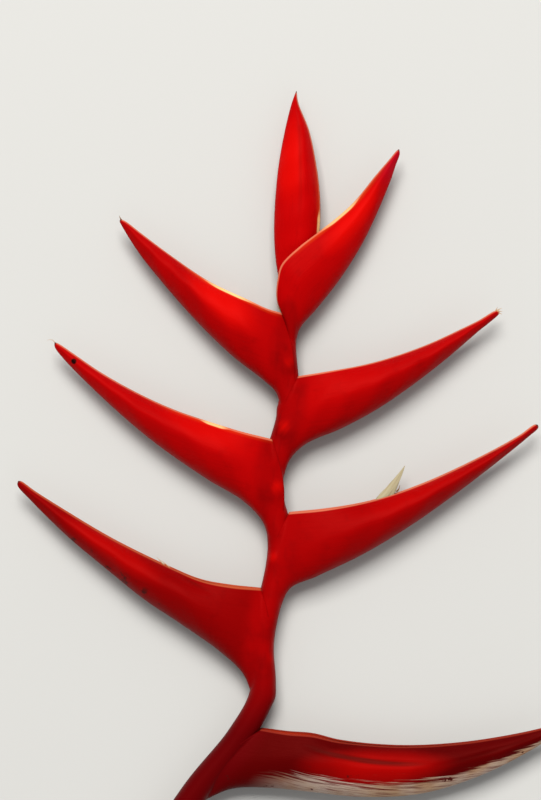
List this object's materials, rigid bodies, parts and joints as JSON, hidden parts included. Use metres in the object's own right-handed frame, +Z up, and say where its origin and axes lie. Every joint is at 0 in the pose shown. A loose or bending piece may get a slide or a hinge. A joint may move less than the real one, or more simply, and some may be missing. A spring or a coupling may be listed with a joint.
{
  "type": "heliconia flower",
  "caption": "Cut heliconia inflorescence lying on its side: a zigzag stem with boat-shaped red bracts set alternately right and left, and slender flowers inside them.",
  "frame": {"origin": "on the table under the middle of the whole flower, which lies on its side", "axes": "+Z up from the table, +Y along the flower from its cut stem towards its top, +X to the right"},
  "size_m": [0.2784, 0.3952, 0.0249],
  "materials": {
    "stem": "smooth waxy red plant stem, satin",
    "bract": "waxy red bract, satin gloss, with a fine pale rim",
    "flower": "cream flower with a green tip, soft satin",
    "bud": "pale green flower bud, soft satin",
    "withered": "dry straw-coloured petal, matt and thin"
  },
  "bodies": {
    "root": {"rachis": "stem", "bract_1": "bract", "bract_2": "bract", "bract_3": "bract", "bract_4": "bract", "bract_5": "bract", "bract_6": "bract", "bract_7": "bract", "bract_8": "bract", "flower_1_1": "flower", "flower_1_2": "flower", "flower_1_3": "flower", "flower_2_1": "flower", "flower_2_2": "flower", "flower_2_3": "flower", "flower_3_1": "flower", "flower_3_3": "flower", "flower_4_1": "flower", "flower_4_2": "flower", "flower_4_3": "flower", "flower_5_1": "flower", "flower_5_2": "flower", "flower_5_3": "flower", "flower_6_1": "flower", "flower_6_2": "flower", "flower_6_3": "flower", "bud_7_1": "bud", "bud_7_2": "bud", "withered_flower": "withered"}
  },
  "joints": []
}
